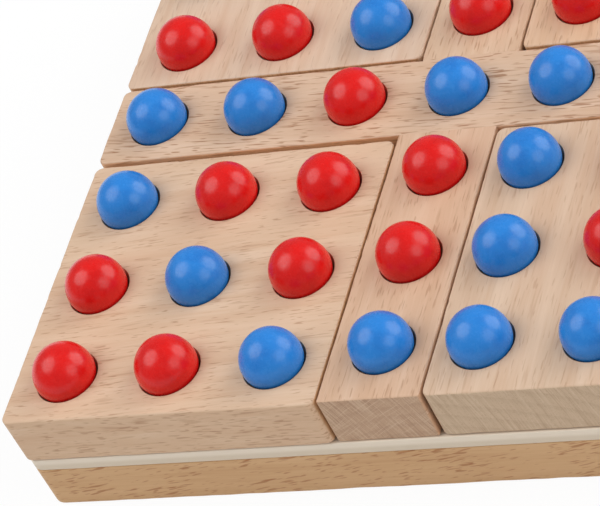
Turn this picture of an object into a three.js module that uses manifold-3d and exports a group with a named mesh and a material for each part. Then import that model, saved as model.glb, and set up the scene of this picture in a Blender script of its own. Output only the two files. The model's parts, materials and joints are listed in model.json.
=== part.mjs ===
// Rotating gomoku board: a fixed cross and four blocks that turn, on a base, with balls in round sockets.
// Millimetres, +Z up. The origin is under the middle of the cross, on the surface that the board stands on.
import * as THREE from "three";
import { mergeVertices } from "three/addons/utils/BufferGeometryUtils.js";
import Module from "manifold-3d";

const wasm = await Module();
wasm.setup();

// Driving dimensions
const blockSide = 86;
const blockHeight = 15;
const holesPerBlock = 3; // along each side
const armWidth = 26.8; // the two short arms, from front to rear
const barWidth = 26.3; // the long bar, from left to right
const armSeatGap = 0.6; // between a seated block and an arm
const barSeatGap = 0.85; // between a seated block and the bar
const slideGap = 0.2; // under a seated block, so that it slides on the sheet
const frontLeftSlack = 0.65; // this block sits a little way out of its corner
// How far off its true place a pattern of holes was drilled, to the right and to the rear
const drillShifts = {
  front_left: [0.4, -0.5],
  front_right: [-2.2, 0.8],
  rear_left: [0.6, -1.5],
  rear_right: [0, 0],
};
const frontArmDrillShift = [0.5, 1.2];
const sheetThickness = 4;
const baseThickness = 13.5;
const baseLip = 0.3; // base and sheet, past the ends of the cross
const blockCornerRadius = 2.2;
const crossCornerRadius = 2;
const baseCornerRadius = 3.5;
const woodEdge = 0.5; // easing of the sawn edges
const sheetEdge = 0.3;
const ballDiameter = 16;
const ballSeatDepth = 6.3; // how deep a ball sits below the face
const ballSeatGap = 0.3; // under a seated ball
const socketPlay = 0.7; // socket radius beyond the ball's
const dowelDiameter = 5;
const dowelEdge = 4.65; // from a dowel's middle to the bar's side
const dowelGrip = 7.5; // how deep a dowel goes into the base, and into the bar
const dowelPlay = 0.1; // all round a dowel in its holes

// Facets
const cornerSegments = 4;
const edgeSegments = 1;
const socketSegments = 14;
const socketRings = 6;
const ballSegments = 12;
const ballRings = 7;
const dowelSegments = 16;

// R is a red ball, B a blue one and a dot an empty socket. Front row first, each from left to right.
const ballLayout = ["RRBBBBR", "RBRRBRB", "BRRRBRB", "BBRBBR.", "RRBRRB.", "BRBBRBR", "RBBRBRR"];

// Worked-out places
const holePitch = blockSide / holesPerBlock;
const seatX = armWidth / 2 + armSeatGap + blockSide / 2;
const seatY = barWidth / 2 + barSeatGap + blockSide / 2;
const barReach = seatX + blockSide / 2;
const armReach = seatY + blockSide / 2;
const baseWidth = 2 * (barReach + baseLip);
const baseDepth = 2 * (armReach + baseLip);
const sheetBottom = baseThickness;
const sheetTop = sheetBottom + sheetThickness;
const blockBottom = sheetTop + slideGap;
const crossHeight = slideGap + blockHeight;
const ballRadius = ballDiameter / 2;
const ballCentreRise = ballRadius - ballSeatDepth;
const socketRadius = ballRadius + socketPlay;
const socketCentreRise = socketRadius - ballSeatDepth - ballSeatGap;
const dowelLength = 2 * dowelGrip + sheetThickness;
const dowelInset = barWidth / 2 - dowelEdge; // from each of the cross's two middle lines
const middleLine = holesPerBlock; // the row on the bar, and the column on the arms
const afterMiddle = middleLine + 1;

const corners = [
  { name: "front_left", sideX: -1, sideY: -1, slack: frontLeftSlack, firstRow: 0, firstColumn: 0 },
  { name: "front_right", sideX: 1, sideY: -1, slack: 0, firstRow: 0, firstColumn: afterMiddle },
  { name: "rear_left", sideX: -1, sideY: 1, slack: 0, firstRow: afterMiddle, firstColumn: 0 },
  { name: "rear_right", sideX: 1, sideY: 1, slack: 0, firstRow: afterMiddle, firstColumn: afterMiddle },
];

// Materials
const wood = (colour) => new THREE.MeshStandardMaterial({ color: colour, roughness: 0.62, metalness: 0 });
const paint = (colour) => new THREE.MeshStandardMaterial({ color: colour, roughness: 0.28, metalness: 0 });
const crossWood = wood(0xd9b894);
const blockWood = wood(0xdcbd9c);
const baseWood = wood(0xcc9c66);
const creamSheet = new THREE.MeshStandardMaterial({ color: 0xe6dcc0, roughness: 0.45, metalness: 0 });
const dowelWood = wood(0xd2ad82);
const ballPaints = {
  R: { name: "red", material: paint(0xd42a26) },
  B: { name: "blue", material: paint(0x2c78c8) },
};

// A closed geometry as a solid for joining and cutting.
function solidFrom(geometry) {
  geometry.deleteAttribute("normal");
  geometry.deleteAttribute("uv");
  const merged = mergeVertices(geometry);
  const vertProperties = merged.attributes.position.array;
  const triVerts = new Uint32Array(merged.index.array);
  return new wasm.Manifold(new wasm.Mesh({ numProp: 3, vertProperties, triVerts }));
}

function geometryFrom(solid) {
  const { vertProperties, triVerts } = solid.getMesh();
  const geometry = new THREE.BufferGeometry();
  geometry.setAttribute("position", new THREE.BufferAttribute(vertProperties, 3));
  geometry.setIndex(new THREE.BufferAttribute(triVerts, 1));
  geometry.computeVertexNormals();
  return geometry;
}

function namedMesh(name, geometry, material) {
  const mesh = new THREE.Mesh(geometry, material);
  mesh.name = name;
  return mesh;
}

// A rectangle with round corners, centred on the origin.
function roundedRectangle(width, depth, radius) {
  const shape = new THREE.Shape();
  const insetX = width / 2 - radius;
  const insetY = depth / 2 - radius;
  shape.absarc(insetX, -insetY, radius, -Math.PI / 2, 0);
  shape.absarc(insetX, insetY, radius, 0, Math.PI / 2);
  shape.absarc(-insetX, insetY, radius, Math.PI / 2, Math.PI);
  shape.absarc(-insetX, -insetY, radius, Math.PI, 1.5 * Math.PI);
  shape.closePath();
  return shape;
}

// The plan of the cross: bar and arms in one outline, round at the outer corners and sharp at the inner ones.
function crossOutline() {
  const shape = new THREE.Shape();
  const middle = new THREE.Vector2();
  for (let quarter = 0; quarter < 4; quarter++) {
    const turn = (quarter * Math.PI) / 2;
    const [half, nextHalf] = quarter % 2 ? [armWidth / 2, barWidth / 2] : [barWidth / 2, armWidth / 2];
    const arcX = (quarter % 2 ? armReach : barReach) - crossCornerRadius;
    const at = (x, y) => new THREE.Vector2(x, y).rotateAround(middle, turn);
    const firstCorner = at(arcX, crossCornerRadius - half);
    const secondCorner = at(arcX, half - crossCornerRadius);
    const innerCorner = at(nextHalf, half);
    shape.absarc(firstCorner.x, firstCorner.y, crossCornerRadius, turn - Math.PI / 2, turn);
    shape.absarc(secondCorner.x, secondCorner.y, crossCornerRadius, turn, turn + Math.PI / 2);
    shape.lineTo(innerCorner.x, innerCorner.y);
  }
  shape.closePath();
  return shape;
}

// A board of the given outline that stands on z = 0, with its top and bottom edges eased.
function easedBoard(outline, thickness, edge) {
  const geometry = new THREE.ExtrudeGeometry(outline, {
    depth: thickness - 2 * edge,
    bevelThickness: edge,
    bevelSize: edge,
    bevelOffset: -edge,
    bevelSegments: edgeSegments,
    curveSegments: cornerSegments,
  });
  geometry.translate(0, 0, edge);
  return solidFrom(geometry);
}

// What a round-nosed cutter takes out of a face at height z.
function socketCut(x, y, z) {
  const cutter = new THREE.SphereGeometry(socketRadius, socketSegments, socketRings);
  cutter.rotateX(Math.PI / 2);
  cutter.translate(x, y, z + socketCentreRise);
  return solidFrom(cutter);
}

function upright(diameter, length) {
  const geometry = new THREE.CylinderGeometry(diameter / 2, diameter / 2, length, dowelSegments);
  geometry.rotateX(Math.PI / 2);
  return geometry;
}

// The four dowels' holes: as deep on one side of the face at height z as on the other.
function dowelCuts(z, depth) {
  return corners.map(({ sideX, sideY }) => {
    const cutter = upright(dowelDiameter + 2 * dowelPlay, 2 * depth);
    cutter.translate(sideX * dowelInset, sideY * dowelInset, z);
    return solidFrom(cutter);
  });
}

const cutAll = (solid, cuts) => cuts.reduce((left, cut) => left.subtract(cut), solid);

// The lines of holes across the whole board, with the bar's or arms' own line between those of the blocks.
function holeLines(seat) {
  const inBlock = [...Array(holesPerBlock).keys()].map((i) => (i - (holesPerBlock - 1) / 2) * holePitch);
  return [...inBlock.map((at) => at - seat), 0, ...inBlock.map((at) => at + seat)];
}

// Seats the ball that the layout has at a place, if it has one there.
function seatBall(group, row, column, x, y, faceHeight) {
  const kind = ballPaints[ballLayout[row][column]];
  if (!kind) return;
  const geometry = new THREE.SphereGeometry(ballRadius, ballSegments, ballRings);
  geometry.rotateX(Math.PI / 2);
  const ball = namedMesh(`${kind.name}_ball_r${row + 1}c${column + 1}`, geometry, kind.material);
  ball.position.set(x, y, faceHeight + ballCentreRise);
  group.add(ball);
}

function basePlate() {
  const board = easedBoard(roundedRectangle(baseWidth, baseDepth, baseCornerRadius), baseThickness, woodEdge);
  const holed = cutAll(board, dowelCuts(baseThickness, dowelGrip + dowelPlay));
  return namedMesh("base_plate", geometryFrom(holed), baseWood);
}

// The smooth sheet that the blocks slide on.
function slideSheet() {
  const outline = roundedRectangle(baseWidth, baseDepth, baseCornerRadius);
  const sheet = easedBoard(outline, sheetThickness, sheetEdge);
  const holed = cutAll(sheet, dowelCuts(sheetThickness, 2 * sheetThickness));
  const mesh = namedMesh("slide_sheet", geometryFrom(holed), creamSheet);
  mesh.position.z = sheetBottom;
  return mesh;
}

// The fixed cross: one outline, parted at its two glue joints into a long bar and two short arms.
function fixedCross() {
  const group = new THREE.Group();
  group.position.z = sheetTop;
  const [shiftX, shiftY] = frontArmDrillShift;
  const holes = [];
  holeLines(seatX).forEach((x, column) => holes.push({ row: middleLine, column, x, y: 0 }));
  holeLines(seatY).forEach((y, row) => {
    if (row < middleLine) holes.push({ row, column: middleLine, x: shiftX, y: y + shiftY });
    if (row > middleLine) holes.push({ row, column: middleLine, x: 0, y });
  });
  const sockets = holes.map(({ x, y }) => socketCut(x, y, crossHeight));
  const cuts = [...sockets, ...dowelCuts(0, dowelGrip + dowelPlay)];
  const whole = cutAll(easedBoard(crossOutline(), crossHeight, woodEdge), cuts);
  const part = (name, width, depth, y) => {
    const box = new THREE.BoxGeometry(width, depth, 2 * crossHeight);
    box.translate(0, y, crossHeight / 2);
    return namedMesh(name, geometryFrom(whole.intersect(solidFrom(box))), crossWood);
  };
  const armLength = armReach + baseLip - barWidth / 2; // a little past the arm's end
  const armMiddle = (barWidth + armLength) / 2;
  group.add(part("centre_bar", baseWidth, barWidth, 0));
  group.add(part("front_arm", armWidth, armLength, -armMiddle));
  group.add(part("rear_arm", armWidth, armLength, armMiddle));
  for (const { row, column, x, y } of holes) seatBall(group, row, column, x, y, crossHeight);
  return group;
}

// One of the dowels that peg the bar down to the base, through the sheet.
function dowel({ name, sideX, sideY }) {
  const mesh = namedMesh(`${name}_dowel`, upright(dowelDiameter, dowelLength), dowelWood);
  mesh.position.set(sideX * dowelInset, sideY * dowelInset, sheetBottom + sheetThickness / 2);
  return mesh;
}

// A block with its balls, in its corner.
function turningBlock({ name, sideX, sideY, slack, firstRow, firstColumn }) {
  const group = new THREE.Group();
  group.position.set(sideX * seatX, sideY * (seatY + slack), blockBottom);
  const [shiftX, shiftY] = drillShifts[name];
  const sockets = [];
  for (let row = 0; row < holesPerBlock; row++) {
    for (let column = 0; column < holesPerBlock; column++) {
      const holeX = (column - (holesPerBlock - 1) / 2) * holePitch + shiftX;
      const holeY = (row - (holesPerBlock - 1) / 2) * holePitch + shiftY;
      sockets.push(socketCut(holeX, holeY, blockHeight));
      seatBall(group, firstRow + row, firstColumn + column, holeX, holeY, blockHeight);
    }
  }
  const board = easedBoard(roundedRectangle(blockSide, blockSide, blockCornerRadius), blockHeight, woodEdge);
  group.add(namedMesh(`${name}_block`, geometryFrom(cutAll(board, sockets)), blockWood));
  return group;
}

const board = new THREE.Group();
board.add(basePlate(), slideSheet(), fixedCross());
for (const corner of corners) board.add(dowel(corner), turningBlock(corner));

export default board;
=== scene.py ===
import bpy
import bmesh
import json
import math
from mathutils import Euler, Matrix, Vector, noise

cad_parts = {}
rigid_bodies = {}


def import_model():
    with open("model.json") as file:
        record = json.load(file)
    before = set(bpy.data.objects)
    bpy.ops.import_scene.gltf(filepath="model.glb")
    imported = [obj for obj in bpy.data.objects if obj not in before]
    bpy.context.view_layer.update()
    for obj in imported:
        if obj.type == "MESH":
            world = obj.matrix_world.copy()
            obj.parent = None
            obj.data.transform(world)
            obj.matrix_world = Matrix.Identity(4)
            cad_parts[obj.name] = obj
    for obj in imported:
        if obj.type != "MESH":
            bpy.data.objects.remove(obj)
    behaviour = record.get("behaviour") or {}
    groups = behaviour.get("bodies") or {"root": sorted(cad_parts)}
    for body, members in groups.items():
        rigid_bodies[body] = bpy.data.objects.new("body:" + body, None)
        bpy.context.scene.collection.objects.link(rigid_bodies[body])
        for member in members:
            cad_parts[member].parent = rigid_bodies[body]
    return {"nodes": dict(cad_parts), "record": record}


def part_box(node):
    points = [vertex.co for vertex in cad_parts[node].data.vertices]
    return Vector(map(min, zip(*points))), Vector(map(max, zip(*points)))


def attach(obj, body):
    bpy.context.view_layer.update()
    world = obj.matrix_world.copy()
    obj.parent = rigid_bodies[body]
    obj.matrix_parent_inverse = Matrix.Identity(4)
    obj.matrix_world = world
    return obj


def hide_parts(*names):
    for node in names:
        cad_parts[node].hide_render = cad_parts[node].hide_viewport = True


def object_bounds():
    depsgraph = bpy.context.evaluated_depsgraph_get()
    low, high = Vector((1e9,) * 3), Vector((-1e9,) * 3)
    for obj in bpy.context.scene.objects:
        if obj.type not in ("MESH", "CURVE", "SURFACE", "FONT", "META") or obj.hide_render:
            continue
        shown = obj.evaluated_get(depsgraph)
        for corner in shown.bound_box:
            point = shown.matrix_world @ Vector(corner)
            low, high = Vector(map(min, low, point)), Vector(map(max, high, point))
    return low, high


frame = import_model()
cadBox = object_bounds()
mm = 0.001
white = (1, 1, 1, 1)
print("frame loaded:", len(frame["nodes"]), "nodes")


# small helpers for colours, meshes and node trees

def tone(red, green, blue):  # screen colour 0 to 255, as the linear colour a shader takes
    def linear(value):
        share = value / 255
        return share / 12.92 if share <= 0.04045 else ((share + 0.055) / 1.055) ** 2.4
    return (linear(red), linear(green), linear(blue), 1.0)


def put(tree, kind, props=None, **sockets):  # one node: a socket value is linked, a plain value is set
    node = tree.nodes.new(kind)
    for key, value in (props or {}).items():
        setattr(node, key, value)
    for key, value in sockets.items():
        name = int(key[1:]) if key[0] == "n" and key[1:].isdigit() else key.replace("_", " ")
        if isinstance(value, bpy.types.NodeSocket):
            tree.links.new(value, node.inputs[name])
        else:
            node.inputs[name].default_value = value
    return node


def calc(tree, operation, a, b=0.0, c=0.0):
    return put(tree, "ShaderNodeMath", {"operation": operation}, n0=a, n1=b, n2=c).outputs[0]


def between(tree, value, low, high, toLow=0.0, toHigh=1.0):  # smooth step from low to high
    node = put(tree, "ShaderNodeMapRange", {"interpolation_type": "SMOOTHSTEP"}, Value=value)
    node.inputs["From Min"].default_value = low
    node.inputs["From Max"].default_value = high
    node.inputs["To Min"].default_value = toLow
    node.inputs["To Max"].default_value = toHigh
    return node.outputs["Result"]


def blendColour(tree, share, first, second):
    return put(tree, "ShaderNodeMix", {"data_type": "RGBA"}, n0=share, n6=first, n7=second).outputs[2]


def tint(tree, colour, towards, depth, field, low, high):  # a second colour where the field is high
    return blendColour(tree, between(tree, field, low, high, 0.0, depth), colour, towards)


def stretched(tree, vector, scale, turn=(0, 0, 0), move=(0, 0, 0)):
    return put(tree, "ShaderNodeMapping", Vector=vector, Location=move, Rotation=turn, Scale=scale).outputs[0]


def inMillimetres(tree, coords, turn=(0, 0, 0), move=(0, 0, 0)):
    return stretched(tree, coords.outputs["Object"], (1 / mm,) * 3, turn, move)


def noiseOf(tree, vector, scale=1.0, detail=2.0, rough=0.5):
    node = put(tree, "ShaderNodeTexNoise", Vector=vector, Scale=scale, Detail=detail, Roughness=rough)
    return node.outputs["Fac"]


def longNoise(tree, p, scale, detail=2.0, rough=0.5):  # noise drawn out by its own scale on each axis
    return noiseOf(tree, stretched(tree, p, scale), 1.0, detail, rough)


def wave(tree, p, scale, detail=2.0):  # the same, about zero
    return calc(tree, "SUBTRACT", longNoise(tree, p, scale, detail), 0.5)


def newMaterial(name):
    material = bpy.data.materials.new(name)
    material.use_nodes = True
    material.node_tree.nodes.clear()
    return material, material.node_tree


def closeMaterial(tree, shader):
    out = tree.nodes.new("ShaderNodeOutputMaterial")
    tree.links.new(shader, out.inputs["Surface"])


def objectFrom(name, bm):
    mesh = bpy.data.meshes.new(name)
    bmesh.ops.recalc_face_normals(bm, faces=bm.faces)
    bm.to_mesh(mesh)
    bm.free()
    piece = bpy.data.objects.new(name, mesh)
    bpy.context.scene.collection.objects.link(piece)
    return piece


shadeSettings = {
    "sharp": math.radians(32),  # edges bent by more than this stay sharp
    "broad": 5 * mm * mm,  # faces over this area stay flat
    "broadSharp": math.radians(2),  # the same limit where a broad face meets a round
}


def softShade(piece, s=shadeSettings):
    bm = bmesh.new()
    bm.from_mesh(piece.data)
    for face in bm.faces:
        face.smooth = True
    for edge in bm.edges:
        broad = [face.calc_area() > s["broad"] for face in edge.link_faces]
        limit = s["broadSharp"] if any(broad) and not all(broad) else s["sharp"]
        edge.smooth = len(broad) == 2 and edge.calc_face_angle(0) < limit
    bm.to_mesh(piece.data)
    bm.free()


def settle(piece, node, body, material):
    piece.data.materials.clear()
    piece.data.materials.append(material)
    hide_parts(node)
    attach(piece, body)


# camera

cameraSettings = {
    "azimuth": 35.424,  # degrees, from the front towards the right
    "elevation": 40.55,
    "roll": -29.502,
    "distance": 917.66 * mm,
    "target": (-30.67 * mm, -51.04 * mm),  # on the top faces, from the middle of the cross
    "lens": 223.28,
    "sensor": 36.0,
    "farthest": 20,
}


def makeCamera(s):
    azimuth = math.radians(s["azimuth"])
    elevation = math.radians(s["elevation"])
    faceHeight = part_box("centre_bar")[1].z
    target = Vector((*s["target"], faceHeight))
    back = Vector((
        math.sin(azimuth) * math.cos(elevation),
        -math.cos(azimuth) * math.cos(elevation),
        math.sin(elevation),
    ))
    data = bpy.data.cameras.new("boardCamera")
    data.lens = s["lens"]
    data.sensor_width = s["sensor"]
    data.sensor_fit = "HORIZONTAL"
    data.clip_end = s["farthest"]
    camera = bpy.data.objects.new("boardCamera", data)
    camera.location = target + back * s["distance"]
    aim = (-back).to_track_quat("-Z", "Y").to_matrix()
    roll = Matrix.Rotation(math.radians(s["roll"]), 3, "Z")
    camera.rotation_euler = (aim @ roll).to_euler()
    bpy.context.scene.collection.objects.link(camera)
    bpy.context.scene.camera = camera
    return camera


camera = makeCamera(cameraSettings)
print("camera set")


# beech: growth rings, fibres, streaks and short dark flecks, with sawn end grain
# on the faces across the grain, and painted bounce light tinting the side faces

def dashes(tree, p, drift, length, width, start, soft):  # along x, fewer where the drift is low
    field = longNoise(tree, p, (1 / length, 1 / width, 1 / width), detail=0.4)
    return between(tree, calc(tree, "ADD", field, drift), start, start + soft)


def sawLines(tree, p, angle, s):  # long marks that a blade left, across the grain
    turned = stretched(tree, p, (1, 1, 1), (math.radians(angle), 0, 0))
    return longNoise(tree, turned, (*s["sawScale"], 1 / s["sawPitch"]), rough=0.6)


def beech(name, s):
    material, tree = newMaterial(name)
    coords = put(tree, "ShaderNodeTexCoord")
    lean = -math.radians(s["grainTurn"])
    turns = {"X": (0, 0, lean), "Y": (0, 0, lean - math.pi / 2), "Z": (0, math.pi / 2, 0)}
    p = inMillimetres(tree, coords, turns[s["grain"]], s["offset"])  # grain along x
    wander = wave(tree, p, s["swayScale"])
    sway = put(tree, "ShaderNodeCombineXYZ", X=0.0, Y=calc(tree, "MULTIPLY", wander, s["sway"]), Z=0.0)
    p = put(tree, "ShaderNodeVectorMath", {"operation": "ADD"}, n0=p, n1=sway.outputs[0]).outputs[0]
    parts = put(tree, "ShaderNodeSeparateXYZ", Vector=p)

    fromPith = put(tree, "ShaderNodeCombineXYZ",
                   X=0.0,
                   Y=calc(tree, "SUBTRACT", parts.outputs["Y"], s["pith"][0]),
                   Z=calc(tree, "SUBTRACT", parts.outputs["Z"], s["pith"][1]))
    radius = put(tree, "ShaderNodeVectorMath", {"operation": "LENGTH"}, n0=fromPith.outputs[0])
    radius = calc(tree, "MULTIPLY_ADD", wander, s["ringWander"], radius.outputs["Value"])
    phase = calc(tree, "FRACT", calc(tree, "DIVIDE", radius, s["ringWidth"]))
    late = calc(tree, "MULTIPLY", between(tree, phase, *s["ringRise"]), between(tree, phase, *s["ringFall"]))

    fibre = longNoise(tree, p, s["fibreScale"], detail=4, rough=0.65)
    band = longNoise(tree, p, s["bandScale"])
    cloud = longNoise(tree, p, s["cloudScale"])
    normal = put(tree, "ShaderNodeSeparateXYZ", Vector=coords.outputs["Normal"])
    upward = calc(tree, "ABSOLUTE", normal.outputs["Z"])
    clump = wave(tree, p, s["clumpScale"], detail=1)
    sparse = between(tree, upward, *s["topReach"], 0.0, -s["topSparse"])
    drift = calc(tree, "MULTIPLY_ADD", clump, s["clumping"], sparse)
    dip = stretched(tree, p, (1, 1, 1), (0, math.radians(s["fleckDip"]), 0))
    streak = dashes(tree, dip, drift, *s["streak"])
    fleck = dashes(tree, dip, drift, *s["fleckSize"])
    fleckDepth = between(tree, upward, *s["topReach"], s["sideFleck"], s["topFleck"])

    side = blendColour(tree, calc(tree, "MULTIPLY", late, s["ringDepth"]), s["early"], s["late"])
    # painted light: the side faces take a warmer brown, standing in for light bounced between wood faces in
    # the gaps between parts
    side = tint(tree, side, s["flank"], s["flankDepth"], upward, *s["topReach"][::-1])
    side = tint(tree, side, s["cloud"], s["cloudDepth"], cloud, *s["cloudReach"])
    side = tint(tree, side, s["late"], s["bandDepth"], band, *s["bandDark"])
    side = tint(tree, side, s["pale"], s["bandDepth"], band, *s["bandPale"])
    side = tint(tree, side, s["late"], s["fibreDepth"], fibre, *s["fibreDark"])
    side = tint(tree, side, s["pale"], s["fibreDepth"], fibre, *s["fibrePale"])
    side = blendColour(tree, calc(tree, "MULTIPLY", streak, s["streakDepth"]), side, s["fleck"])
    side = blendColour(tree, calc(tree, "MULTIPLY", fleck, fleckDepth), side, s["fleck"])

    facing = calc(tree, "ABSOLUTE", normal.outputs[s["grain"]])
    endMask = between(tree, facing, *s["endReach"])
    saw = sawLines(tree, p, s["sawAngle"], s)
    crossSaw = sawLines(tree, p, s["crossSawAngle"], s)
    pores = longNoise(tree, p, s["poreScale"])
    end = blendColour(tree, calc(tree, "MULTIPLY", late, s["endRingDepth"]), s["end"], s["endDark"])
    end = tint(tree, end, s["endPale"], s["sawDepth"], saw, *s["sawPale"])
    end = tint(tree, end, s["endDark"], s["sawDepth"], saw, *s["sawDark"])
    end = tint(tree, end, s["endPale"], s["crossSawDepth"], crossSaw, *s["crossSawPale"])
    end = tint(tree, end, s["endDark"], s["poreDepth"], pores, *s["poreDark"])
    colour = blendColour(tree, endMask, side, end)

    height = calc(tree, "MULTIPLY_ADD", fleck, s["fleckRise"], calc(tree, "MULTIPLY", fibre, s["fibreRise"]))
    height = calc(tree, "MULTIPLY_ADD", calc(tree, "MULTIPLY", endMask, saw), s["sawRise"], height)
    bump = put(tree, "ShaderNodeBump", Strength=s["bump"], Distance=s["bumpHeight"], Height=height)
    rough = between(tree, fibre, *s["roughReach"], *s["rough"])
    shader = put(tree, "ShaderNodeBsdfPrincipled", Base_Color=colour, Roughness=rough, Normal=bump.outputs[0])
    shader.inputs["Specular IOR Level"].default_value = s["gloss"]
    closeMaterial(tree, shader.outputs[0])
    return material


beechLook = {
    "grain": "X",
    "grainTurn": 0,  # degrees from that axis, in plan
    "offset": (0, 0, 0),
    "sway": 5.0,
    "pith": (30, -60),  # middle of the trunk, across the grain and below, in mm
    "ringWidth": 3.8,
    "ringWander": 9.0,
    "ringDepth": 0.14,
    "swayScale": (0.009, 0.03, 0.03),  # waves per mm, along the grain and across it
    "fibreScale": (0.06, 1.7, 1.7),
    "bandScale": (0.022, 0.3, 0.3),
    "cloudScale": (0.02, 0.07, 0.07),
    "clumpScale": (0.05, 0.2, 0.2),
    "poreScale": (0.4, 2.4, 2.4),
    "sawScale": (0.3, 0.07),
    "ringRise": (0.35, 0.92),  # where in a ring's width the late wood comes and goes
    "ringFall": (1.0, 0.93),
    "topReach": (0.3, 0.7),  # how far up a face looks, from a side to a top
    "endReach": (0.72, 0.93),  # how far along the grain a face looks, from a side to an end
    "cloudReach": (0.35, 0.7),  # the noise at which a colour starts, and at which it is full
    "bandDark": (0.45, 0.72),
    "bandPale": (0.48, 0.25),
    "fibreDark": (0.45, 0.75),
    "fibrePale": (0.5, 0.22),
    "sawPale": (0.5, 0.68),
    "sawDark": (0.48, 0.3),
    "crossSawPale": (0.52, 0.68),
    "poreDark": (0.52, 0.72),
    "roughReach": (0.25, 0.75),
    "cloudDepth": 0.25,
    "bandDepth": 0.3,
    "fibreDepth": 0.16,
    "poreDepth": 0.35,
    "fleckDip": 1,  # degrees, how the dashes slope on the long sides
    "streak": (10, 0.8, 0.59, 0.14),  # length and width in mm, then where the dash starts and how soft it is
    "streakDepth": 0.24,
    "fleckSize": (4.2, 0.5, 0.6, 0.11),
    "clumping": 0.18,  # how much the dashes crowd together
    "topSparse": 0.035,  # how many fewer dashes the flat-sawn faces have
    "topFleck": 0.44,
    "sideFleck": 0.4,
    "sawAngle": -78,
    "crossSawAngle": 34,
    "sawPitch": 0.6,  # in mm
    "sawDepth": 0.44,
    "crossSawDepth": 0.0,
    "endRingDepth": 0.2,
    "early": tone(212, 182, 154),
    "late": tone(194, 154, 122),
    "pale": tone(228, 202, 178),
    "cloud": tone(208, 172, 144),
    # painted light: a warmer brown on the side faces, standing in for bounce light in the gaps
    "flank": tone(207, 172, 136),
    "flankDepth": 0.4,
    "fleck": tone(149, 101, 66),
    "end": tone(196, 170, 142),
    "endDark": tone(164, 136, 108),
    "endPale": tone(214, 192, 166),
    "fleckRise": -0.7,  # shares of the bump's height
    "fibreRise": 0.5,
    "sawRise": 1.4,
    "bump": 0.25,
    "bumpHeight": 0.08 * mm,
    "rough": (0.5, 0.62),
    "gloss": 0.3,
}


def look(**changes):
    return {**beechLook, **changes}


# wooden boards: a plan outline, eased along every edge by hand, then the sockets

def arcPoints(cx, cy, radius, start, count):
    points = []
    for i in range(count + 1):
        angle = start + math.pi / 2 * i / count
        outX, outY = math.cos(angle), math.sin(angle)
        points.append((cx + radius * outX, cy + radius * outY, -outX, -outY))
    return points


def filled(points, step):  # more points on the straight stretches, each with its inward direction
    dense = []
    for i, (x, y, nx, ny) in enumerate(points):
        dense.append((x, y, nx, ny))
        x2, y2 = points[(i + 1) % len(points)][:2]
        length = math.hypot(x2 - x, y2 - y)
        count = int(length / step)
        inX, inY = -(y2 - y) / length, (x2 - x) / length
        for k in range(1, count):
            share = k / count
            dense.append((x + (x2 - x) * share, y + (y2 - y) * share, inX, inY))
    return dense


def rectangleOutline(low, high, radius, arcs=7):
    corners = [
        (high.x - radius, low.y + radius, -math.pi / 2),
        (high.x - radius, high.y - radius, 0),
        (low.x + radius, high.y - radius, math.pi / 2),
        (low.x + radius, low.y + radius, math.pi),
    ]
    points = []
    for cx, cy, start in corners:
        points += arcPoints(cx, cy, radius, start, arcs)
    return points


def crossOutline(reach, armHalf, barHalf, radii, arcs=7):
    points = []
    for quarter in range(4):
        turn = Matrix.Rotation(quarter * math.pi / 2, 2)
        half, nextHalf = (armHalf, barHalf) if quarter % 2 else (barHalf, armHalf)
        radius = radii["arm" if quarter % 2 else "bar"]
        for offset, start in ((radius - half, -math.pi / 2), (half - radius, 0)):
            centre = turn @ Vector((reach - radius, offset))
            points += arcPoints(centre.x, centre.y, radius, start + quarter * math.pi / 2, arcs)
        inner = turn @ Vector((nextHalf, half))
        inward = turn @ Vector((-1, -1))
        points.append((inner.x, inner.y, inward.x, inward.y))
    return points


def easedBoard(name, outline, bottom, top, s, seed):
    points = filled(outline, s["edgeStep"])
    bm = bmesh.new()
    loops = []
    rounds = s["edgeRounds"]
    for level in range(2 * (rounds + 1)):
        upper = level > rounds
        turn = (2 * rounds + 1 - level if upper else level) / rounds * math.pi / 2
        loop = []
        for x, y, nx, ny in points:
            where = Vector((x / s["wornLength"], y / s["wornLength"], seed + s["upperSeed"] * upper))
            edge = s["edge" if upper else "lowerEdge"] * (1 + s["worn"] * noise.noise(where))
            if upper:
                edge += max(0.0, noise.noise(where * s["chipRate"]) - s["chipStart"]) * s["chipDepth"]
            inset = edge * (1 - math.sin(turn))
            drop = edge * (1 - math.cos(turn))
            height = top - drop if upper else bottom + drop
            loop.append(bm.verts.new((x + nx * inset, y + ny * inset, height)))
        loops.append(loop)
    count = len(points)
    for lower, higher in zip(loops, loops[1:]):
        for i in range(count):
            bm.faces.new((lower[i], lower[(i + 1) % count], higher[(i + 1) % count], higher[i]))
    bm.faces.new(loops[0][::-1])
    bm.faces.new(loops[-1])
    return objectFrom(name, bm)


def revolved(name, profile, segments, place):
    bm = bmesh.new()
    rings = []
    for radius, height in profile:
        if radius == 0:
            rings.append([bm.verts.new((place[0], place[1], place[2] + height))])
            continue
        ring = []
        for i in range(segments):
            angle = 2 * math.pi * i / segments
            ring.append(bm.verts.new((
                place[0] + radius * math.cos(angle),
                place[1] + radius * math.sin(angle),
                place[2] + height,
            )))
        rings.append(ring)
    for lower, higher in zip(rings, rings[1:]):
        for i in range(segments):
            j = (i + 1) % segments
            corners = [
                lower[i % len(lower)],
                lower[j % len(lower)],
                higher[j % len(higher)],
                higher[i % len(higher)],
            ]
            bm.faces.new(list(dict.fromkeys(corners)))
    return objectFrom(name, bm)


socketSettings = {
    "radius": 8.5 * mm,
    "depth": 6.6 * mm,
    "lean": (0.06 * mm, 0.1 * mm),  # a ball rests a little towards the front left of its socket
    "rim": 0.12 * mm,  # rounding where the cut meets the face
    "rimSteps": 4,
    "flare": 0.05 * mm,  # how the cutter widens above the face
    "above": 1 * mm,
    "segments": 56,
    "rings": 12,
}


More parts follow.
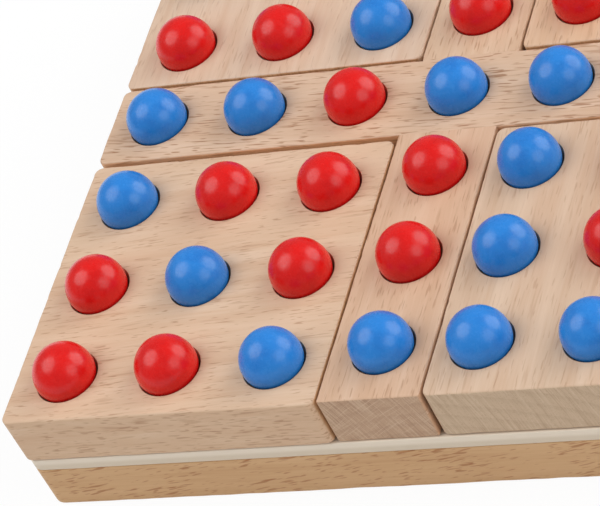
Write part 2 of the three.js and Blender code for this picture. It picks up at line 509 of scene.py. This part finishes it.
def socketCutter(x, y, face, s):
    sphereRise = s["radius"] - s["depth"]
    rim = s["rim"]
    last = math.acos((sphereRise + rim) / s["radius"])
    profile = [(0, -s["depth"])]
    for i in range(1, s["rings"] + 1):
        angle = last * i / s["rings"]
        profile.append((s["radius"] * math.sin(angle), sphereRise - s["radius"] * math.cos(angle)))
    edgeRadius = profile[-1][0]
    for i in range(1, s["rimSteps"] + 1):
        angle = math.pi / 2 * i / s["rimSteps"]
        profile.append((edgeRadius + rim * (1 - math.cos(angle)), -rim + rim * math.sin(angle)))
    outer = profile[-1][0]
    profile += [(outer + s["flare"], s["above"]), (0, s["above"])]
    return revolved("cutter", profile, s["segments"], (x + s["lean"][0], y + s["lean"][1], face))


def socketPlaces(body, nodes):  # the middle of each ball on the body, and of each empty socket in the nodes
    record = frame["record"]
    boxes = [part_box(joint["child"]) for joint in record["behaviour"]["joints"]
             if joint["type"] == "slide" and joint["parent"] == body]
    for opening in record["physics"]["openings"]:
        low, high = (Vector(corner) for corner in opening["box_m"])
        middle = (low + high) / 2
        for node in nodes:
            nodeLow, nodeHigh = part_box(node)
            if nodeLow.x < middle.x < nodeHigh.x and nodeLow.y < middle.y < nodeHigh.y:
                boxes.append((low, high))
    return [((low.x + high.x) / 2, (low.y + high.y) / 2) for low, high in boxes]


dowelNodes = sorted(node for node in frame["nodes"] if node.endswith("_dowel"))
dowelSettings = {
    "play": 0.1 * mm,
    "chamfer": 0.6 * mm,
    "segments": 40,
    "look": look(grain="Z", early=tone(208, 170, 132)),
}


def dowelCutter(node, s):
    low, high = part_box(node)
    radius = (high.x - low.x) / 2 + s["play"]
    top = high.z - low.z + s["play"]
    profile = [(0, -s["play"]), (radius, -s["play"]), (radius, top), (0, top)]
    return revolved("cutter", profile, s["segments"], ((low.x + high.x) / 2, (low.y + high.y) / 2, low.z))


def cutAway(piece, cutters):
    for cutter in cutters:
        step = piece.modifiers.new("cut", "BOOLEAN")
        step.object = cutter
        step.operation = "DIFFERENCE"
        step.solver = "EXACT"
    bpy.context.view_layer.update()
    graph = bpy.context.evaluated_depsgraph_get()
    mesh = bpy.data.meshes.new_from_object(piece.evaluated_get(graph))
    piece.modifiers.clear()
    piece.data = mesh
    for cutter in cutters:
        bpy.data.objects.remove(cutter)


def keepSlice(piece, plane, normal, nearness=1e-7):  # keeps what is behind the plane, closed at the cut
    bm = bmesh.new()
    bm.from_mesh(piece.data)
    cut = bmesh.ops.bisect_plane(
        bm,
        geom=bm.verts[:] + bm.edges[:] + bm.faces[:],
        plane_co=plane,
        plane_no=normal,
        clear_outer=True,
        dist=nearness,
    )
    edges = [item for item in cut["geom_cut"] if isinstance(item, bmesh.types.BMEdge)]
    bmesh.ops.edgeloop_fill(bm, edges=edges)
    bmesh.ops.recalc_face_normals(bm, faces=bm.faces)
    bm.to_mesh(piece.data)
    bm.free()


woodSettings = {
    "edge": 0.5 * mm,
    "lowerEdge": 0.8 * mm,
    "edgeRounds": 4,
    "edgeStep": 0.9 * mm,
    "worn": 0.45,  # how unevenly the edges were eased
    "wornLength": 6 * mm,
    "upperSeed": 7.3,  # so that upper and lower edges are worn differently
    "chipRate": 2.4,  # tear-out: small chips along the upper edges
    "chipStart": 0.3,
    "chipDepth": 1.0 * mm,
}

# painted light: end grain made browner, standing in for warm light bounced between wood faces in the gaps
# these end faces look into
paintedBounceEnd = {"end": tone(198, 154, 112), "endDark": tone(158, 114, 78), "endPale": tone(212, 176, 138)}
blockSettings = {
    "corner": 2.2 * mm,
    "looks": {
        "front_left": look(
            grain="X",
            grainTurn=4,
            offset=(13, 4, 2),
            fleckSize=(3.5, 0.42, 0.6, 0.11),
            sideFleck=0.38,
            **paintedBounceEnd,
        ),
        "front_right": look(
            grain="Y",
            offset=(91, 37, 5),
            early=tone(209, 181, 155),
            streakDepth=0.18,
            topFleck=0.26,
            sawPitch=0.44,
            sawDepth=0.38,
        ),
        "rear_left": look(
            grain="Y",
            offset=(205, 60, 9),
            early=tone(213, 187, 164),
            streakDepth=0.14,
            topFleck=0.26,
            **paintedBounceEnd,
        ),
        "rear_right": look(
            grain="Y",
            grainTurn=3,
            offset=(310, 88, 3),
            early=tone(215, 179, 146),
            **paintedBounceEnd,
        ),
    },
}


def makeBlocks(s):
    for seed, (name, woodLook) in enumerate(s["looks"].items()):
        node = name + "_block"
        low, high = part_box(node)
        outline = rectangleOutline(low, high, s["corner"])
        piece = easedBoard(name + "_wood", outline, low.z, high.z, woodSettings, seed)
        cutAway(piece, [socketCutter(x, y, high.z, socketSettings) for x, y in socketPlaces(node, [node])])
        softShade(piece)
        settle(piece, node, node, beech(name + "Beech", woodLook))
    print("blocks made:", len(s["looks"]))


makeBlocks(blockSettings)


crossSettings = {
    "corners": {"bar": 2.0 * mm, "arm": 0.7 * mm},
    "seam": 0.01 * mm,  # left between the glued pieces
    "seed": 11,
    "looks": {
        "centre_bar": look(
            grain="X",
            grainTurn=-2,
            offset=(420, 17, 6),
            early=tone(211, 180, 153),
            streakDepth=0.38,
            topSparse=0.01,
            topFleck=0.68,
            # painted light: a bright orange-brown on the bar's sides, standing in for light that reaches into
            # the gaps beside the blocks
            flank=tone(228, 172, 124),
            flankDepth=0.9,
        ),
        "front_arm": look(
            grain="Y",
            offset=(530, 45, 1),
            early=tone(210, 175, 147),
            # painted light: a warm brown on the arm's sides, standing in for bounce light in the gaps beside
            # the blocks
            flank=tone(192, 144, 106),
            flankDepth=0.6,
            streakDepth=0.18,
            topSparse=0.04,
            topFleck=0.38,
            sawAngle=-66,
            sawPitch=0.4,
            sawDepth=0.56,
            crossSawDepth=0.46,
            end=tone(186, 153, 125),
            endDark=tone(152, 117, 92),
            endPale=tone(210, 182, 156),
        ),
        "rear_arm": look(grain="Y", offset=(640, 71, 8)),
    },
}


def makeCross(s):
    barLow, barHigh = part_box("centre_bar")
    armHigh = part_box("rear_arm")[1]
    holes = socketPlaces("board", s["looks"])
    outline = crossOutline(barHigh.x, armHigh.x, barHigh.y, s["corners"])
    whole = easedBoard("cross_wood", outline, barLow.z, barHigh.z, woodSettings, s["seed"])
    sockets = [socketCutter(x, y, barHigh.z, socketSettings) for x, y in holes]
    cutAway(whole, sockets + [dowelCutter(node, dowelSettings) for node in dowelNodes])
    barSide = barHigh.y + s["seam"]
    armEnd = barSide + s["seam"]
    cuts = {
        "centre_bar": [((0, barSide, 0), (0, 1, 0)), ((0, -barSide, 0), (0, -1, 0))],
        "front_arm": [((0, -armEnd, 0), (0, 1, 0))],
        "rear_arm": [((0, armEnd, 0), (0, -1, 0))],
    }
    for node, planes in cuts.items():
        piece = bpy.data.objects.new(node + "_wood", whole.data.copy())
        bpy.context.scene.collection.objects.link(piece)
        for place, normal in planes:
            keepSlice(piece, place, normal)
        softShade(piece)
        settle(piece, node, "board", beech(node + "Beech", s["looks"][node]))
    bpy.data.objects.remove(whole)
    print("cross made")


makeCross(crossSettings)


baseSettings = {
    "corner": 3.5 * mm,
    "seed": 23,
    "look": look(
        grain="X",
        offset=(700, 20, 4),
        early=tone(206, 166, 122),
        late=tone(184, 138, 94),
        pale=tone(215, 177, 136),
        cloud=tone(196, 150, 106),
        fleck=tone(154, 94, 50),
        flankDepth=0.0,
        fleckDip=10,
        clumping=0.26,
        fibreDepth=0.26,
        streak=(5, 0.7, 0.66, 0.1),
        streakDepth=0.62,
        fleckSize=(3.2, 0.42, 0.645, 0.1),
        topSparse=0.0,
        sideFleck=0.52,
        topFleck=0.3,
    ),
}


def makeBase(s):
    low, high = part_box("base_plate")
    outline = rectangleOutline(low, high, s["corner"])
    piece = easedBoard("base_wood", outline, low.z, high.z, woodSettings, s["seed"])
    cutAway(piece, [dowelCutter(node, dowelSettings) for node in dowelNodes])
    softShade(piece)
    settle(piece, "base_plate", "board", beech("baseBeech", s["look"]))
    print("base made")


makeBase(baseSettings)


sheetSettings = {
    "corner": 3.5 * mm,
    "seed": 31,
    "edges": {
        **woodSettings,
        "edge": 0.3 * mm,
        "lowerEdge": 0.3 * mm,
        "edgeRounds": 3,
        "edgeStep": 1.8 * mm,
        "wornLength": 9 * mm,
        "chipDepth": 0.0,
    },
    # painted light and shade: the upper part of the edge is paler, as if lit from above, and the lower part
    # darker, as if in shade
    "upper": tone(228, 214, 195),
    "lower": tone(212, 196, 174),
    "paintedLightFrom": -0.6 * mm,  # where the painted light, a paler upper part as if lit from above, starts and is full, from the middle of the edge
    "paintedLightTo": 0.9 * mm,
    "smudge": tone(200, 182, 156),
    "smudgeDepth": 0.35,
    "smudgeReach": (0.55, 0.8),
    "smearScale": (0.12, 0.12, 0.5),  # waves per mm
    "gritScale": 3.0,
    "bump": 0.15,
    "bumpHeight": 0.06 * mm,
    "roughReach": (0.3, 0.7),
    "rough": (0.45, 0.58),
}


def creamMaterial(s, low, high):  # painted light paler along the upper edge, as if lit from above, with a few smudges
    material, tree = newMaterial("creamSheet")
    coords = put(tree, "ShaderNodeTexCoord")
    p = inMillimetres(tree, coords)
    rise = put(tree, "ShaderNodeSeparateXYZ", Vector=coords.outputs["Object"]).outputs["Z"]
    grit = noiseOf(tree, p, s["gritScale"])
    smear = longNoise(tree, p, s["smearScale"], detail=3)
    middle = (low + high) / 2
    # painted light: paler towards the top of the edge
    pale = between(tree, rise, middle + s["paintedLightFrom"], middle + s["paintedLightTo"])
    colour = blendColour(tree, pale, s["lower"], s["upper"])
    colour = tint(tree, colour, s["smudge"], s["smudgeDepth"], smear, *s["smudgeReach"])
    bump = put(tree, "ShaderNodeBump", Strength=s["bump"], Distance=s["bumpHeight"], Height=grit)
    rough = between(tree, grit, *s["roughReach"], *s["rough"])
    shader = put(tree, "ShaderNodeBsdfPrincipled", Base_Color=colour, Roughness=rough, Normal=bump.outputs[0])
    closeMaterial(tree, shader.outputs[0])
    return material


def makeSheet(s):
    low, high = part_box("slide_sheet")
    outline = rectangleOutline(low, high, s["corner"])
    piece = easedBoard("cream_sheet", outline, low.z, high.z, s["edges"], s["seed"])
    cutAway(piece, [dowelCutter(node, dowelSettings) for node in dowelNodes])
    softShade(piece)
    settle(piece, "slide_sheet", "board", creamMaterial(s, low.z, high.z))
    print("sheet made")


makeSheet(sheetSettings)


# painted balls: turned wood, so each has a faint flat at its poles and a skin that isn't quite even

ballSettings = {
    "rings": 26,
    "segments": 48,
    "flat": 0.9 * mm,
    "uneven": 0.045 * mm,
    "lumpRate": 260,  # waves per metre
    "lumpApart": 3.1,  # so that no two balls are uneven alike
    "firstTurn": 0.7,  # each ball lies turned another way
    "turnSteps": (1.9, 2.3, 0.9),
    "paints": {
        "red": {"main": tone(215, 23, 20), "deep": tone(192, 14, 15), "thin": tone(224, 44, 38)},
        "blue": {"main": tone(42, 126, 207), "deep": tone(28, 102, 183), "thin": tone(68, 145, 217)},
    },
    "paintApart": 300.0,
    "mottleScale": 0.22,  # waves per mm
    "speckScale": 0.8,
    "peelScale": 0.9,
    "deepShare": 0.5,
    "deepReach": (0.4, 0.75),
    "thinShare": 0.25,
    "thinReach": (0.55, 0.8),
    "bump": 0.15,
    "bumpHeight": 0.06 * mm,
    "roughReach": (0.3, 0.7),
    "rough": (0.2, 0.32),
    "gloss": 0.33,
}


def ballPaint(name, paint, s):
    material, tree = newMaterial(name + "Paint")
    coords = put(tree, "ShaderNodeTexCoord")
    own = put(tree, "ShaderNodeObjectInfo").outputs["Random"]  # so that no two balls are mottled alike
    apart = calc(tree, "MULTIPLY", own, s["paintApart"])
    p = inMillimetres(tree, coords)
    p = put(tree, "ShaderNodeVectorMath", {"operation": "ADD"}, n0=p, n1=apart).outputs[0]
    mottle = noiseOf(tree, p, s["mottleScale"], detail=3)
    speck = noiseOf(tree, p, s["speckScale"], rough=0.6)
    peel = noiseOf(tree, p, s["peelScale"])
    colour = tint(tree, paint["main"], paint["deep"], s["deepShare"], mottle, *s["deepReach"])
    colour = tint(tree, colour, paint["thin"], s["thinShare"], speck, *s["thinReach"])
    bump = put(tree, "ShaderNodeBump", Strength=s["bump"], Distance=s["bumpHeight"], Height=peel)
    rough = between(tree, speck, *s["roughReach"], *s["rough"])
    shader = put(tree, "ShaderNodeBsdfPrincipled", Base_Color=colour, Roughness=rough, Normal=bump.outputs[0])
    shader.inputs["Specular IOR Level"].default_value = s["gloss"]
    closeMaterial(tree, shader.outputs[0])
    return material


def makeBalls(s):
    paints = {name: ballPaint(name, paint, s) for name, paint in s["paints"].items()}
    nodes = [node for node in frame["nodes"] if "_ball_" in node]
    stepX, stepY, stepZ = s["turnSteps"]
    for number, node in enumerate(sorted(nodes)):
        low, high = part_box(node)
        middle = (low + high) / 2
        radius = (high.z - low.z) / 2
        first = math.asin(s["flat"] / radius)
        profile = [(0, -radius * math.cos(first))]
        for i in range(s["rings"] + 1):
            angle = first + (math.pi - 2 * first) * i / s["rings"]
            profile.append((radius * math.sin(angle), -radius * math.cos(angle)))
        profile.append((0, radius * math.cos(first)))
        piece = revolved(node + "_turned", profile, s["segments"], (0, 0, 0))
        for vertex in piece.data.vertices:
            lump = noise.noise(vertex.co * s["lumpRate"] + Vector((number * s["lumpApart"], 0, 0)))
            vertex.co *= 1 - s["uneven"] / radius * (0.5 + 0.5 * lump)
        softShade(piece)
        turn = Euler((s["firstTurn"] + number * stepX, number * stepY, number * stepZ))
        piece.data.transform(turn.to_matrix().to_4x4())
        piece.location = middle
        colour = node.split("_")[0]
        settle(piece, node, node, paints[colour])
    print("balls made:", len(nodes))


makeBalls(ballSettings)


# the hidden dowels: turned rods with chamfered ends

def makeDowels(s):
    material = beech("dowelBeech", s["look"])
    edge = s["chamfer"]
    for node in dowelNodes:
        low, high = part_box(node)
        radius = (high.x - low.x) / 2
        length = high.z - low.z
        profile = [
            (0, 0),
            (radius - edge, 0),
            (radius, edge),
            (radius, length - edge),
            (radius - edge, length),
            (0, length),
        ]
        place = ((low.x + high.x) / 2, (low.y + high.y) / 2, low.z)
        piece = revolved(node + "_rod", profile, s["segments"], place)
        softShade(piece)
        settle(piece, node, node, material)
    print("dowels made:", len(dowelNodes))


makeDowels(dowelSettings)


# studio: a white floor that keeps a faint shadow, an even white surround and three soft lamps

studioSettings = {
    "surround": 0.35,
    "floorSide": 6.0,
    "floorMatte": (0.9, 0.9, 0.9, 1),
    "floorGlow": 0.92,  # share of the floor's white that the shadow can't darken
    "lamps": {  # where each stands, as the camera sees it
        "leftLamp": {"way": (-0.838, 0.369, 0.404), "away": 1.3, "side": 1.15, "power": 11.0},
        "rightLamp": {"way": (0.606, 0.749, 0.27), "away": 1.3, "side": 1.15, "power": 11.0},
        "rightFill": {"way": (0.464, 0.174, 0.869), "away": 1.3, "side": 0.95, "power": 5.0},
    },
}


def makeFloor(s):
    bm = bmesh.new()
    half = s["floorSide"] / 2
    plan = ((-half, -half), (half, -half), (half, half), (-half, half))
    bm.faces.new([bm.verts.new((x, y, 0)) for x, y in plan])
    floor = objectFrom("floor", bm)
    floor.location.z = cadBox[0].z
    material, tree = newMaterial("whiteFloor")
    matte = put(tree, "ShaderNodeBsdfDiffuse", Color=s["floorMatte"])
    glow = put(tree, "ShaderNodeEmission", Color=white, Strength=1.0)
    path = put(tree, "ShaderNodeLightPath")
    seen = calc(tree, "MAXIMUM", path.outputs["Is Camera Ray"], path.outputs["Is Glossy Ray"])
    seen = calc(tree, "MAXIMUM", seen, path.outputs["Is Transmission Ray"])
    share = calc(tree, "MULTIPLY", seen, s["floorGlow"])
    mixed = put(tree, "ShaderNodeMixShader", n0=share, n1=matte.outputs[0], n2=glow.outputs[0])
    closeMaterial(tree, mixed.outputs[0])
    floor.data.materials.append(material)


def makeSurround(s):
    world = bpy.data.worlds.new("surround")
    world.use_nodes = True
    tree = world.node_tree
    tree.nodes.clear()
    path = put(tree, "ShaderNodeLightPath")
    strength = between(tree, path.outputs["Is Camera Ray"], 0.0, 1.0, s["surround"], 1.0)
    light = put(tree, "ShaderNodeBackground", Color=white, Strength=strength)
    out = tree.nodes.new("ShaderNodeOutputWorld")
    tree.links.new(light.outputs[0], out.inputs["Surface"])
    bpy.context.scene.world = world


def makeLamps(s):
    middle = Vector((0, 0, cadBox[1].z))
    bpy.context.view_layer.update()
    turned = camera.matrix_world.to_3x3()
    for name, lamp in s["lamps"].items():
        way = (turned @ Vector(lamp["way"])).normalized()
        data = bpy.data.lights.new(name, "AREA")
        data.shape = "DISK"
        data.size = lamp["side"]
        data.energy = lamp["power"]
        light = bpy.data.objects.new(name, data)
        light.location = middle + way * lamp["away"]
        light.rotation_euler = (-way).to_track_quat("-Z", "Y").to_euler()
        bpy.context.scene.collection.objects.link(light)


makeFloor(studioSettings)
makeSurround(studioSettings)
makeLamps(studioSettings)
bpy.context.scene.view_settings.view_transform = "Standard"
print("studio lit")
